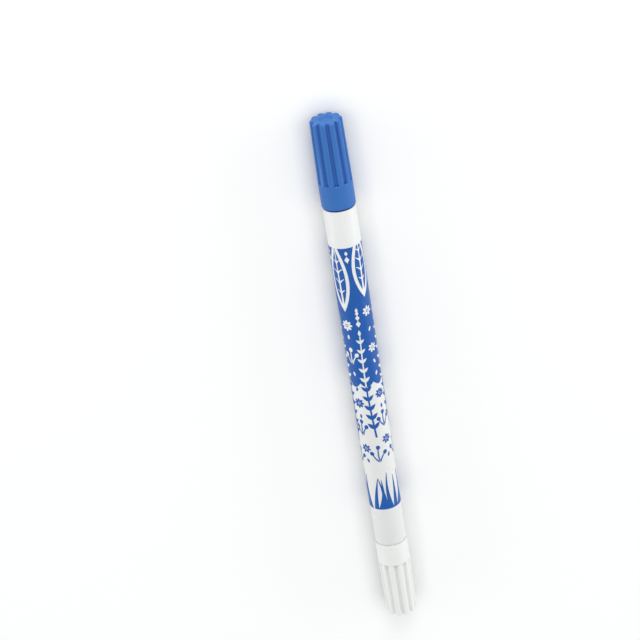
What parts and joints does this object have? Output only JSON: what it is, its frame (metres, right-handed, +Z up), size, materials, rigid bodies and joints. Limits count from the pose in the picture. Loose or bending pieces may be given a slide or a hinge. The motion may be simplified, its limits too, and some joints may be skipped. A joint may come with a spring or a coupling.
{
  "type": "ink eraser pen",
  "caption": "Slim double-ended pen with an eraser felt at one end, a fine writing fibre at the other, and a ribbed push-on cap over each.",
  "frame": {"origin": "on the table under the middle of the pen, which lies on its two caps' collars", "axes": "+X along the pen from the eraser cap to the writer cap, +Y across it, +Z up"},
  "size_m": [0.14, 0.0082, 0.0082],
  "materials": {
    "white_plastic": "moulded polypropylene, soft gloss",
    "blue_plastic": "moulded polypropylene, soft gloss",
    "inked_fibre": "bonded fibre soaked with blue ink",
    "white_fibre": "bonded fibre soaked with colourless fluid",
    "film": "thin smooth polypropylene film"
  },
  "bodies": {
    "barrel": {"barrel": "white_plastic", "partition_plug": "white_plastic", "writer_nib_holder": "white_plastic", "eraser_nib_holder": "white_plastic", "writer_nib": "inked_fibre", "eraser_nib": "white_fibre", "writer_ink_core": "inked_fibre", "writer_core_wrap": "film", "eraser_fluid_core": "white_fibre", "eraser_core_wrap": "film"},
    "writer_cap": {"writer_cap": "blue_plastic"},
    "eraser_cap": {"eraser_cap": "white_plastic"}
  },
  "joints": [
    {"name": "writer_cap_pull", "type": "slide", "parent": "barrel", "child": "writer_cap", "axis": [1, 0, 0], "range_m": [0, 0.025]},
    {"name": "eraser_cap_pull", "type": "slide", "parent": "barrel", "child": "eraser_cap", "axis": [-1, 0, 0], "range_m": [0, 0.025]}
  ]
}
